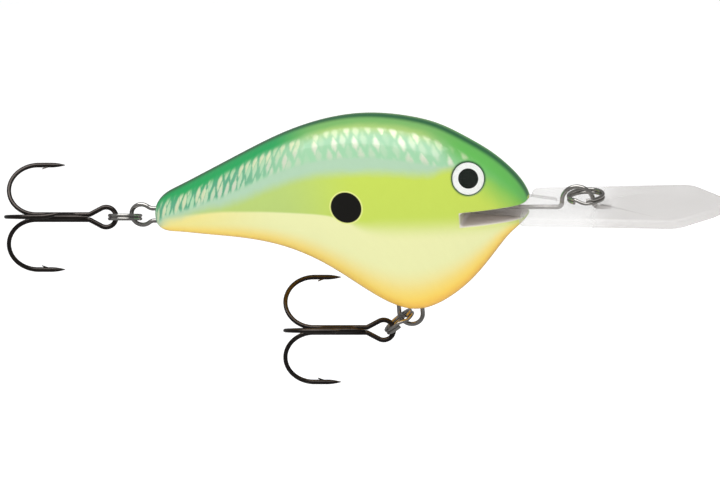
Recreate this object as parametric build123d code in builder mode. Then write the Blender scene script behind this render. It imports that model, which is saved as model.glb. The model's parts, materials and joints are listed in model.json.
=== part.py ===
"""Deep-diving crankbait: balsa body, clear lip, wire hangers, split rings, treble hooks.

Millimetres, +Z towards the back of the fish, +X towards its nose, -Y is its right side.
The origin is the centre of the line tie's arch, just above the diving lip.
"""

from build123d import *
from collections import namedtuple
from math import asin, atan2, cos, hypot, pi, radians, sin, sqrt
import os

# Body: stations from the tail to the nose
Station = namedtuple("Station", "x top bottom half_width widest_z")
STATIONS = [
    Station(-79.0, -0.9, -3.4, 1.1, -2.2),
    Station(-78.6, 0.1, -4.3, 1.9, -2.2),
    Station(-77.4, 1.5, -5.1, 2.9, -2.0),
    Station(-75.0, 2.9, -5.4, 3.6, -1.7),
    Station(-70.0, 5.4, -5.8, 4.6, -1.0),
    Station(-62.0, 9.5, -6.5, 6.2, 0.0),
    Station(-54.0, 13.3, -8.2, 7.8, 0.5),
    Station(-46.0, 15.9, -12.1, 9.0, 0.5),
    Station(-38.0, 16.9, -17.8, 9.6, 0.3),
    Station(-31.0, 16.3, -20.5, 9.5, 0.0),
    Station(-25.0, 14.7, -18.4, 8.9, -0.3),
    Station(-20.0, 12.1, -14.4, 8.0, -0.5),
    Station(-16.0, 9.6, -9.8, 6.8, -0.7),
    Station(-12.5, 6.6, -5.6, 5.35, -0.9),
    Station(-10.3, 3.9, -3.6, 4.1, -0.8),
    Station(-9.2, 1.7, -2.3, 2.7, -0.7),
    Station(-8.8, 0.3, -1.4, 1.3, -0.6),
]
SECTION_POWER = 2.15
SECTION_POINTS = 20

# Diving lip: a clear plate with a thicker root that is glued in a saw cut across the head
SLOT_BACK_X = -20.4
SLOT_HEIGHT = 2.6
SLOT_MID_Z = -0.7
SLOT_CORNER_RADIUS = 0.5
LIP_TOP_Z = -0.15
LIP_THICKNESS = 1.7
LIP_EDGE_ROUND = 0.6
LIP_ROOT_X = -9.6
LIP_ROOT_HALF_WIDTH = 8.4
LIP_SHOULDER_X = 19.6
LIP_SHOULDER_HALF_WIDTH = 9.9
LIP_APEX_X = 29.3
LIP_ROOT_CORNER_RADIUS = 1.2
LIP_SHOULDER_RADIUS = 4.5
LIP_APEX_RADIUS = 6.0
TAB_BACK_X = -19.6
TAB_BACK_HALF_WIDTH = 1.2
TAB_FRONT_HALF_WIDTH = 3.2
SPINE_END_X = -3.9
SPINE_END_HALF_WIDTH = 0.9
GLUE_GAP = 0.15

# Wire parts
HANGER_WIRE = 0.8
TIE_WIRE = 0.8
WIRE_FIT = 0.03
TIE_ARCH_RADIUS = 2.9
TIE_BEND_RADIUS = 0.9
TIE_WIRE_Z = -1.0
TIE_WIRE_BACK_X = -17.5
TIE_WIRE_FRONT_X = 6.0
TAIL_LOOP_X = -81.8
TAIL_LOOP_Z = -2.35
TAIL_LOOP_RADIUS = 2.0
TAIL_LEG_OFFSET = 1.2
TAIL_NECK_RADIUS = 1.5
TAIL_LEG_END_X = -68.0
BELLY_BEND_X = -32.4
BELLY_BEND_Z = -21.7
BELLY_BEND_RADIUS = 2.2
BELLY_LEG_END_Z = -9.0

# Split rings: two touching coils, kept as one ring of slot-shaped section
RING_WIRE = 0.62
TIE_RING_RADIUS = 3.15
HOOK_RING_RADIUS = 2.9
TIE_RING_BACK_X = -1.6
TIE_RING_Z = 1.0
TAIL_RING_FRONT_X = -82.2
TAIL_RING_Z = -2.85
BELLY_RING_DROP = 36.0

# Treble hooks: u runs from the bends to the eye, the third hook points to the right side
HOOK_WIRE = 0.9
HOOK_PAIR_GAP = 0.03
HOOK_LENGTH = 20.9
HOOK_REACH = 11.55
HOOK_POINT_LENGTH = 5.0
HOOK_TIP_LENGTH = 1.9
HOOK_TIP_RADIUS = 0.06
HOOK_EYE_RADIUS = 1.85
HOOK_NECK_RADIUS = 0.9
HOOK_NECK_RUN = 3.3
HOOK_ROLL = 20.5
HOOK_YAW = 13.0
HOOK_SPREAD = 120.0
HOOK_EYE_FROM_RING = 1.15
THIRD_SHANK_END = 15.2
THIRD_SHANK_TAPER = 2.2
BARB_BACK = 4.3
BARB_LENGTH = 1.5
BARB_HEIGHT = 0.5
BARB_THICKNESS = 0.36

# Ballast and rattle, sealed inside the body
WEIGHT_RADIUS = 4.2
WEIGHT_TOP_Z = -9.5
WEIGHT_BOTTOM_Z = -16.5
RATTLE_X = -46.0
RATTLE_Z = 3.0
RATTLE_LENGTH = 12.0
RATTLE_RADIUS = 2.5
RATTLE_WALL = 0.35
RATTLE_CAP = 0.8
RATTLE_BALL_RADIUS = 1.7
POCKET_FIT = 0.05

# Eyes
EYE_X = -18.6
EYE_Z = 6.77
EYE_SURFACE_Y = 6.15
EYE_FORWARD = 0.362
EYE_OUTWARD = 0.83
EYE_UPWARD = 0.4235
EYE_RADIUS = 2.9
EYE_SOCKET_RADIUS = 3.05
EYE_SOCKET_DEPTH = 0.85
IRIS_THICKNESS = 0.5
PUPIL_RADIUS = 1.82
PUPIL_THICKNESS = 0.12
LENS_RISE = 0.62

os.makedirs("parts", exist_ok=True)


def save(piece, name):
    """Label a finished piece and write it under its own name."""
    piece.label = name
    export_step(piece, f"parts/{name}.step")


def upright(plane):
    """Plane on the same origin and x axis, whose y axis is the given plane's normal."""
    return Plane(plane.origin, x_dir=plane.x_dir, z_dir=plane.x_dir.cross(plane.z_dir))


def section_points(station):
    """Points round one superelliptic section, in the plane's own two axes."""
    points = []
    for index in range(SECTION_POINTS):
        turn = 2 * pi * index / SECTION_POINTS
        side = abs(sin(turn)) ** (2 / SECTION_POWER) * (1 if sin(turn) >= 0 else -1)
        rise = abs(cos(turn)) ** (2 / SECTION_POWER)
        reach = station.top if cos(turn) >= 0 else station.bottom
        height = station.widest_z + (reach - station.widest_z) * rise
        points.append((station.half_width * side, height))
    return points


def loop_tangents(loop_radius, leg_offset, neck_radius):
    """Where a wire's leg meets its neck, and the neck its loop, from the loop's centre."""
    run = sqrt((loop_radius + neck_radius) ** 2 - (leg_offset + neck_radius) ** 2)
    share = loop_radius / (loop_radius + neck_radius)
    on_loop = (run * share, (leg_offset + neck_radius) * share)
    return run, on_loop


# ---------------------------------------------------------------- wire hangers
tail_run, tail_on_loop = loop_tangents(TAIL_LOOP_RADIUS, TAIL_LEG_OFFSET, TAIL_NECK_RADIUS)


def tail_hanger_wire(radius):
    """Closed loop behind the tail, on two parallel legs that run into the body."""
    with BuildPart() as wire:
        with BuildLine(Plane.XZ) as path:
            neck_x = TAIL_LOOP_X + tail_run
            upper_z, lower_z = TAIL_LOOP_Z + TAIL_LEG_OFFSET, TAIL_LOOP_Z - TAIL_LEG_OFFSET
            loop_x = TAIL_LOOP_X + tail_on_loop[0]
            Line((TAIL_LEG_END_X, upper_z), (neck_x, upper_z))
            RadiusArc(
                (neck_x, upper_z), (loop_x, TAIL_LOOP_Z + tail_on_loop[1]), TAIL_NECK_RADIUS
            )
            ThreePointArc(
                (loop_x, TAIL_LOOP_Z + tail_on_loop[1]),
                (TAIL_LOOP_X - TAIL_LOOP_RADIUS, TAIL_LOOP_Z),
                (loop_x, TAIL_LOOP_Z - tail_on_loop[1]),
            )
            RadiusArc(
                (loop_x, TAIL_LOOP_Z - tail_on_loop[1]), (neck_x, lower_z), TAIL_NECK_RADIUS
            )
            Line((neck_x, lower_z), (TAIL_LEG_END_X, lower_z))
        with BuildSketch(path.line ^ 0):
            Circle(radius)
        sweep(path=path.line)
    return wire.part


def belly_hanger_wire(radius):
    """U-shaped staple under the belly."""
    with BuildPart() as wire:
        with BuildLine(Plane.XZ) as path:
            front_x, back_x = BELLY_BEND_X + BELLY_BEND_RADIUS, BELLY_BEND_X - BELLY_BEND_RADIUS
            Line((front_x, BELLY_LEG_END_Z), (front_x, BELLY_BEND_Z))
            ThreePointArc(
                (front_x, BELLY_BEND_Z),
                (BELLY_BEND_X, BELLY_BEND_Z - BELLY_BEND_RADIUS),
                (back_x, BELLY_BEND_Z),
            )
            Line((back_x, BELLY_BEND_Z), (back_x, BELLY_LEG_END_Z))
        with BuildSketch(path.line ^ 0):
            Circle(radius)
        sweep(path=path.line)
    return wire.part


def tie_wire(radius):
    """Arch over the lip, with both of its feet moulded into the lip."""
    with BuildPart() as wire:
        with BuildLine(Plane.XZ) as path:
            leg = TIE_ARCH_RADIUS
            back = FilletPolyline(
                (TIE_WIRE_BACK_X, TIE_WIRE_Z), (-leg, TIE_WIRE_Z), (-leg, 0), radius=TIE_BEND_RADIUS
            )
            arch = ThreePointArc(back @ 1, (0, leg), (leg, 0))
            FilletPolyline(
                arch @ 1, (leg, TIE_WIRE_Z), (TIE_WIRE_FRONT_X, TIE_WIRE_Z), radius=TIE_BEND_RADIUS
            )
        with BuildSketch(path.line ^ 0):
            Circle(radius)
        sweep(path=path.line)
    return wire.part


save(tail_hanger_wire(HANGER_WIRE / 2), "tail_hanger")
save(belly_hanger_wire(HANGER_WIRE / 2), "belly_hanger")
save(tie_wire(TIE_WIRE / 2), "line_tie_wire")

# ------------------------------------------------------------ ballast and rattle
with BuildPart() as belly_weight:
    with BuildSketch(Plane.XY.offset(WEIGHT_BOTTOM_Z)):
        with Locations((BELLY_BEND_X, 0)):
            Circle(WEIGHT_RADIUS)
        with Locations(
            (BELLY_BEND_X - BELLY_BEND_RADIUS, 0), (BELLY_BEND_X + BELLY_BEND_RADIUS, 0)
        ):
            Circle(HANGER_WIRE / 2 + WIRE_FIT, mode=Mode.SUBTRACT)
    extrude(amount=WEIGHT_TOP_Z - WEIGHT_BOTTOM_Z)
save(belly_weight.part, "belly_weight")

rattle_back = Plane.YZ.offset(RATTLE_X - RATTLE_LENGTH / 2)
with BuildPart() as rattle_tube:
    with BuildSketch(rattle_back):
        with Locations((0, RATTLE_Z)):
            Circle(RATTLE_RADIUS)
            Circle(RATTLE_RADIUS - RATTLE_WALL, mode=Mode.SUBTRACT)
    extrude(amount=RATTLE_LENGTH)
save(rattle_tube.part, "rattle_tube")

for cap_name, cap_x in (
    ("rattle_cap_back", RATTLE_X - RATTLE_LENGTH / 2),
    ("rattle_cap_front", RATTLE_X + RATTLE_LENGTH / 2 - RATTLE_CAP),
):
    with BuildPart() as rattle_cap:
        with BuildSketch(Plane.YZ.offset(cap_x)):
            with Locations((0, RATTLE_Z)):
                Circle(RATTLE_RADIUS - RATTLE_WALL)
        extrude(amount=RATTLE_CAP)
    save(rattle_cap.part, cap_name)

with BuildPart() as rattle_ball:
    with Locations((RATTLE_X, 0, RATTLE_Z)):
        Sphere(RATTLE_BALL_RADIUS)
save(rattle_ball.part, "rattle_ball")


# -------------------------------------------------------------------------- eyes
def eye_plane(side):
    """Plane on the head's surface, facing out of the socket; side is -1 right, +1 left."""
    outward = (EYE_FORWARD, side * EYE_OUTWARD, EYE_UPWARD)
    centre = (EYE_X, side * EYE_SURFACE_Y, EYE_Z)
    return Plane(centre, x_dir=(1, 0, -EYE_FORWARD / EYE_UPWARD), z_dir=outward)


for side_name, side in (("right", -1), ("left", 1)):
    face = eye_plane(side)
    with BuildPart() as eye_iris:
        with BuildSketch(face.offset(-EYE_SOCKET_DEPTH)):
            Circle(EYE_RADIUS)
        extrude(amount=IRIS_THICKNESS)
    save(eye_iris.part, f"eye_iris_{side_name}")

    with BuildPart() as eye_pupil:
        with BuildSketch(face.offset(IRIS_THICKNESS - EYE_SOCKET_DEPTH)):
            Circle(PUPIL_RADIUS)
        extrude(amount=PUPIL_THICKNESS)
    save(eye_pupil.part, f"eye_pupil_{side_name}")

    seat = face.offset(IRIS_THICKNESS - EYE_SOCKET_DEPTH)
    dome_radius = (EYE_RADIUS**2 + LENS_RISE**2) / (2 * LENS_RISE)
    with BuildPart() as eye_lens:
        with BuildSketch(upright(seat)):
            with BuildLine():
                RadiusArc((0, LENS_RISE), (EYE_RADIUS, 0), dome_radius)
                Polyline(
                    (EYE_RADIUS, 0),
                    (PUPIL_RADIUS, 0),
                    (PUPIL_RADIUS, PUPIL_THICKNESS),
                    (0, PUPIL_THICKNESS),
                    (0, LENS_RISE),
                )
            make_face()
        revolve(axis=Axis(seat.origin, seat.z_dir))
    save(eye_lens.part, f"eye_lens_{side_name}")

# -------------------------------------------------------------------- diving lip
tab_depth = LIP_THICKNESS + SLOT_MID_Z + SLOT_HEIGHT / 2 - GLUE_GAP - LIP_TOP_Z
lip_bottom = Plane.XY.offset(LIP_TOP_Z - LIP_THICKNESS)
with BuildPart() as diving_lip:
    with BuildSketch(lip_bottom):
        with BuildLine():
            FilletPolyline(
                (LIP_ROOT_X, -LIP_ROOT_HALF_WIDTH),
                (LIP_SHOULDER_X, -LIP_SHOULDER_HALF_WIDTH),
                (LIP_APEX_X, 0),
                (LIP_SHOULDER_X, LIP_SHOULDER_HALF_WIDTH),
                (LIP_ROOT_X, LIP_ROOT_HALF_WIDTH),
                radius=[
                    LIP_ROOT_CORNER_RADIUS,
                    LIP_SHOULDER_RADIUS,
                    LIP_APEX_RADIUS,
                    LIP_SHOULDER_RADIUS,
                    LIP_ROOT_CORNER_RADIUS,
                ],
                close=True,
            )
        make_face()
    extrude(amount=LIP_THICKNESS)
    rim = diving_lip.faces().filter_by(Axis.Z).edges()
    fillet(rim, radius=LIP_EDGE_ROUND)
    with BuildSketch(lip_bottom):
        with BuildLine():
            Polyline(
                (TAB_BACK_X, -TAB_BACK_HALF_WIDTH),
                (LIP_ROOT_X, -TAB_FRONT_HALF_WIDTH),
                (SPINE_END_X, -SPINE_END_HALF_WIDTH),
                (SPINE_END_X, SPINE_END_HALF_WIDTH),
                (LIP_ROOT_X, TAB_FRONT_HALF_WIDTH),
                (TAB_BACK_X, TAB_BACK_HALF_WIDTH),
                close=True,
            )
        make_face()
    extrude(amount=tab_depth)
    add(tie_wire(TIE_WIRE / 2 + WIRE_FIT), mode=Mode.SUBTRACT)
save(diving_lip.part, "diving_lip")

# -------------------------------------------------------------------------- body
with BuildPart() as body_form:
    for station in STATIONS:
        with BuildSketch(Plane.YZ.offset(station.x)):
            with BuildLine():
                Spline(*section_points(station), periodic=True)
            make_face()
    loft()
    add(tail_hanger_wire(HANGER_WIRE / 2 + WIRE_FIT), mode=Mode.SUBTRACT)
    # saw cut for the lip
    with BuildSketch(Plane.XZ):
        with Locations((SLOT_BACK_X, SLOT_MID_Z)):
            RectangleRounded(
                -SLOT_BACK_X, SLOT_HEIGHT, SLOT_CORNER_RADIUS, align=(Align.MIN, Align.CENTER)
            )
    extrude(amount=STATIONS[0].x, both=True, mode=Mode.SUBTRACT)
    for side in (-1, 1):
        with BuildSketch(eye_plane(side).offset(-EYE_SOCKET_DEPTH)):
            Circle(EYE_SOCKET_RADIUS)
        extrude(amount=2 * EYE_SOCKET_DEPTH, mode=Mode.SUBTRACT)
    with BuildSketch(Plane.XY.offset(WEIGHT_BOTTOM_Z - POCKET_FIT)):
        with Locations((BELLY_BEND_X, 0)):
            Circle(WEIGHT_RADIUS + POCKET_FIT)
    extrude(amount=WEIGHT_TOP_Z - WEIGHT_BOTTOM_Z + 2 * POCKET_FIT, mode=Mode.SUBTRACT)
    with BuildSketch(rattle_back.offset(-POCKET_FIT)):
        with Locations((0, RATTLE_Z)):
            Circle(RATTLE_RADIUS + POCKET_FIT)
    extrude(amount=RATTLE_LENGTH + 2 * POCKET_FIT, mode=Mode.SUBTRACT)

for half_name, kept in (("body_half_right", Keep.TOP), ("body_half_left", Keep.BOTTOM)):
    with BuildPart() as body_half:
        add(body_form.part)
        split(bisect_by=Plane.XZ, keep=kept)
        add(belly_hanger_wire(HANGER_WIRE / 2 + WIRE_FIT), mode=Mode.SUBTRACT)
    save(body_half.part, half_name)


# ------------------------------------------------------------------- split rings
def split_ring(plane, radius):
    """Ring of slot-shaped section, centred on the plane and lying in it."""
    with BuildPart() as ring:
        with BuildSketch(upright(plane)):
            with Locations((radius, 0)):
                SlotOverall(2 * RING_WIRE, RING_WIRE, rotation=90)
        revolve(axis=Axis(plane.origin, plane.z_dir))
    return ring.part


tie_ring_centre = (TIE_RING_BACK_X + TIE_RING_RADIUS, 0, TIE_RING_Z)
save(split_ring(Plane(tie_ring_centre), TIE_RING_RADIUS), "line_tie_ring")

roll = radians(HOOK_ROLL)
roll_up = Vector(0, sin(roll), cos(roll))
tail_ring_centre = Vector(TAIL_RING_FRONT_X - HOOK_RING_RADIUS, 0, TAIL_RING_Z)
tail_ring_plane = Plane(tail_ring_centre, x_dir=(1, 0, 0), z_dir=roll_up)
save(split_ring(tail_ring_plane, HOOK_RING_RADIUS), "tail_split_ring")

drop = radians(BELLY_RING_DROP)
belly_ring_run = Vector(-cos(drop), 0, -sin(drop))
belly_ring_front = Vector(BELLY_BEND_X, 0, BELLY_BEND_Z)
belly_ring_plane = Plane(
    belly_ring_front + belly_ring_run * HOOK_RING_RADIUS,
    x_dir=(0, 1, 0),
    z_dir=belly_ring_run.cross(Vector(0, 1, 0)),
)
save(split_ring(belly_ring_plane, HOOK_RING_RADIUS), "belly_split_ring")

# ------------------------------------------------------------------ treble hooks
pair_offset = HOOK_WIRE / 2 + HOOK_PAIR_GAP / 2
third_offset = sqrt((HOOK_WIRE + HOOK_PAIR_GAP) ** 2 - pair_offset**2)
eye_centre_u = HOOK_LENGTH - HOOK_WIRE / 2 - HOOK_EYE_RADIUS
neck_u = eye_centre_u - HOOK_NECK_RUN
neck_rise = pair_offset + HOOK_NECK_RADIUS
eye_slope = asin((HOOK_EYE_RADIUS + HOOK_NECK_RADIUS) / hypot(HOOK_NECK_RUN, neck_rise))
eye_slope -= atan2(neck_rise, HOOK_NECK_RUN)


def bend_frame(hook, shank_offset, heading):
    """Plane of one bend and its radius: x towards the eye, y the way that the hook opens."""
    out = Vector(0, cos(radians(heading)), sin(radians(heading)))
    radius = (HOOK_REACH - HOOK_WIRE / 2 - shank_offset.dot(out)) / 2
    start = Vector(radius + HOOK_WIRE / 2, 0, 0) + shank_offset
    frame = Plane(
        hook.from_local_coords(start),
        x_dir=hook.x_dir,
        z_dir=hook.x_dir.cross(hook.from_local_coords(out) - hook.origin),
    )
    return frame, radius


def draw_bend(frame, radius):
    """Straight point and bend of one hook, drawn from the tip's cone to the shank."""
    cone_foot = (HOOK_POINT_LENGTH - HOOK_TIP_LENGTH, 2 * radius)
    corners = [cone_foot, (0, 2 * radius), (-radius, radius), (0, 0)]
    foot, end, side, start = [frame.from_local_coords(corner) for corner in corners]
    Line(foot, end)
    ThreePointArc(end, side, start)


def draw_eye(hook):
    """Wire of the eye, from one shank round the loop and back to the other shank."""

    def bent(turn, side):
        """Point on the small bend that leads out of a shank."""
        v = neck_rise - HOOK_NECK_RADIUS * cos(turn)
        return hook.from_local_coords((neck_u + HOOK_NECK_RADIUS * sin(turn), side * v))

    on_loop = (eye_centre_u - HOOK_EYE_RADIUS * sin(eye_slope), HOOK_EYE_RADIUS * cos(eye_slope))
    upper, lower = [hook.from_local_coords((on_loop[0], side * on_loop[1])) for side in (1, -1)]
    ThreePointArc(bent(0, 1), bent(eye_slope / 2, 1), bent(eye_slope, 1))
    Line(bent(eye_slope, 1), upper)
    ThreePointArc(upper, hook.from_local_coords((eye_centre_u + HOOK_EYE_RADIUS, 0)), lower)
    Line(lower, bent(eye_slope, -1))
    ThreePointArc(bent(eye_slope, -1), bent(eye_slope / 2, -1), bent(0, -1))


def point_and_barb(frame, radius):
    """Sharpened tip and barb of one hook."""
    inner = 2 * radius - HOOK_WIRE / 2
    barb_x = HOOK_POINT_LENGTH - BARB_BACK
    with BuildPart() as point:
        with BuildSketch(frame.offset(-BARB_THICKNESS / 2)):
            with BuildLine():
                Polyline(
                    (barb_x, inner - BARB_HEIGHT),
                    (barb_x + BARB_LENGTH, inner + HOOK_WIRE / 4),
                    (barb_x + BARB_LENGTH / 3, inner + HOOK_WIRE / 4),
                    close=True,
                )
            make_face()
        extrude(amount=BARB_THICKNESS)
        cone_foot = frame.from_local_coords((HOOK_POINT_LENGTH - HOOK_TIP_LENGTH, 2 * radius, 0))
        with Locations(Plane(cone_foot, z_dir=frame.x_dir)):
            Cone(
                HOOK_WIRE / 2,
                HOOK_TIP_RADIUS,
                HOOK_TIP_LENGTH,
                align=(Align.CENTER, Align.CENTER, Align.MIN),
            )
    return point.part


def treble_hook(hook, name):
    """Double hook bent from one wire round the eye, and the third hook brazed to its shank."""
    upper, lower = Vector(0, pair_offset, 0), Vector(0, -pair_offset, 0)
    third = Vector(0, 0, third_offset)
    upper_bend = bend_frame(hook, upper, 90 - HOOK_SPREAD)
    lower_bend = bend_frame(hook, lower, 90 + HOOK_SPREAD)
    third_bend = bend_frame(hook, third, 90)
    upper_neck, lower_neck = [
        hook.from_local_coords((neck_u, side * pair_offset)) for side in (1, -1)
    ]

    with BuildPart() as double_hook:
        with BuildLine() as path:
            draw_bend(*upper_bend)
            Line(upper_bend[0].origin, upper_neck)
            draw_eye(hook)
            Line(lower_neck, lower_bend[0].origin)
            draw_bend(*lower_bend)
        with BuildSketch(path.wires()[0] ^ 0):
            Circle(HOOK_WIRE / 2)
        sweep(path=path.wires()[0])
        add(point_and_barb(*upper_bend))
        add(point_and_barb(*lower_bend))
    save(double_hook.part, f"{name}_double")

    with BuildPart() as single_hook:
        taper_u = THIRD_SHANK_END - THIRD_SHANK_TAPER
        taper_foot = hook.from_local_coords((taper_u, 0, third_offset))
        with BuildLine() as path:
            draw_bend(*third_bend)
            Line(third_bend[0].origin, taper_foot)
        with BuildSketch(path.wires()[0] ^ 0):
            Circle(HOOK_WIRE / 2)
        sweep(path=path.wires()[0])
        with Locations(Plane(taper_foot, z_dir=hook.x_dir)):
            Cone(
                HOOK_WIRE / 2,
                HOOK_WIRE / 4,
                THIRD_SHANK_TAPER,
                align=(Align.CENTER, Align.CENTER, Align.MIN),
            )
        add(point_and_barb(*third_bend))
    save(single_hook.part, f"{name}_single")


shank_run = HOOK_LENGTH - HOOK_WIRE / 2 - HOOK_EYE_FROM_RING
tail_pivot = tail_ring_centre + Vector(-HOOK_RING_RADIUS, 0, 0)
belly_pivot = belly_ring_front + belly_ring_run * 2 * HOOK_RING_RADIUS
hook_axis = Vector(1, 0, 0).rotate(Axis((0, 0, 0), roll_up), HOOK_YAW)
hook_side = hook_axis.cross(roll_up)
for name, pivot in (("tail_hook", tail_pivot), ("belly_hook", belly_pivot)):
    treble_hook(Plane(pivot - hook_axis * shank_run, x_dir=hook_axis, z_dir=hook_side), name)
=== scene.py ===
"""Looks of a deep-diving crankbait: lacquered balsa body, clear lip, wire, rings and hooks."""

import json
from math import asin, atan2, cos, hypot, pi, radians, sin, sqrt, tan

import bmesh
import bpy
import numpy as np
from bpy.props import FloatProperty, FloatVectorProperty, PointerProperty
from mathutils import Matrix, Vector


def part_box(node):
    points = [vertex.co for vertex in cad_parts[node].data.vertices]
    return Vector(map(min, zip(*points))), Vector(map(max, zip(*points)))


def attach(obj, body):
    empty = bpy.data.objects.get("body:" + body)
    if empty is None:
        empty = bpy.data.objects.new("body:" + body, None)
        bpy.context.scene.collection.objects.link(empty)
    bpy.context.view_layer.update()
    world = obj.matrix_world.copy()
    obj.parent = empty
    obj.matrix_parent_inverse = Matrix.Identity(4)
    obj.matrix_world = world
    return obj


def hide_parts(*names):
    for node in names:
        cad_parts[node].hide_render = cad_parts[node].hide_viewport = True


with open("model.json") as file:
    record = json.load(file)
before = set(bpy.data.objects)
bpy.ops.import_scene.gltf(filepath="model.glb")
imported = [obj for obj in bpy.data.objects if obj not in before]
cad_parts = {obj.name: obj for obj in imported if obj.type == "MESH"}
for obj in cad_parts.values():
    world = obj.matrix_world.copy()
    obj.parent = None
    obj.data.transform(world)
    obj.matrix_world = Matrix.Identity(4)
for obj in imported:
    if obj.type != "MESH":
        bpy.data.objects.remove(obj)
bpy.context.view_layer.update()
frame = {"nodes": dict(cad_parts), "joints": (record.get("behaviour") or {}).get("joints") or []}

bl_info = {
    "name": "Crankbait Looks",
    "version": (1, 0, 0),
    "blender": (4, 5, 0),
    "location": "3D Viewport > Sidebar > Lure",
    "description": "Builds the painted body, eyes, lip, rings and hooks of a crankbait",
    "category": "Object",
}

MM = 0.001
JOINTS = {joint["name"]: joint for joint in frame["joints"]}
SIDES = ("right", "left")
SLOT_MIDDLE = -0.7 * MM
SLOT_HALF = 1.3 * MM
HALVES = ("body_half_right", "body_half_left")
BODY_BACK_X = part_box(HALVES[0])[0].x
SLOT_BACK_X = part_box("diving_lip")[0].x

# smoothing of the remeshed body: two opposite steps keep its size
SHRINK_STEP = 0.5
GROW_STEP = -0.53
LIGHT_ROUNDS = 2
FULL_ROUNDS = 24


def srgb(red, green, blue):
    """Linear colour of three 8-bit display values."""
    shares = (value / 255 for value in (red, green, blue))
    return tuple(s / 12.92 if s <= 0.04045 else ((s + 0.055) / 1.055) ** 2.4 for s in shares)


def joint_point(name):
    """A hinge's place at rest."""
    return Vector(JOINTS[name]["pos_m"])


def middle(node):
    """Middle of a CAD node's box."""
    low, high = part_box(node)
    return (low + high) / 2


def node_points(node):
    """A CAD node's corners as an array."""
    mesh = frame["nodes"][node].data
    points = np.empty(len(mesh.vertices) * 3)
    mesh.vertices.foreach_get("co", points)
    return points.reshape(-1, 3)


def flat_facing(points):
    """Direction in which a flat set of points is thinnest."""
    return np.linalg.svd(points - points.mean(axis=0), full_matrices=False)[2][2]


def ease(value, low, high):
    """0 below low, 1 above high, smooth between, for arrays."""
    share = np.clip((value - low) / (high - low), 0, 1)
    return share * share * (3 - 2 * share)


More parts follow.
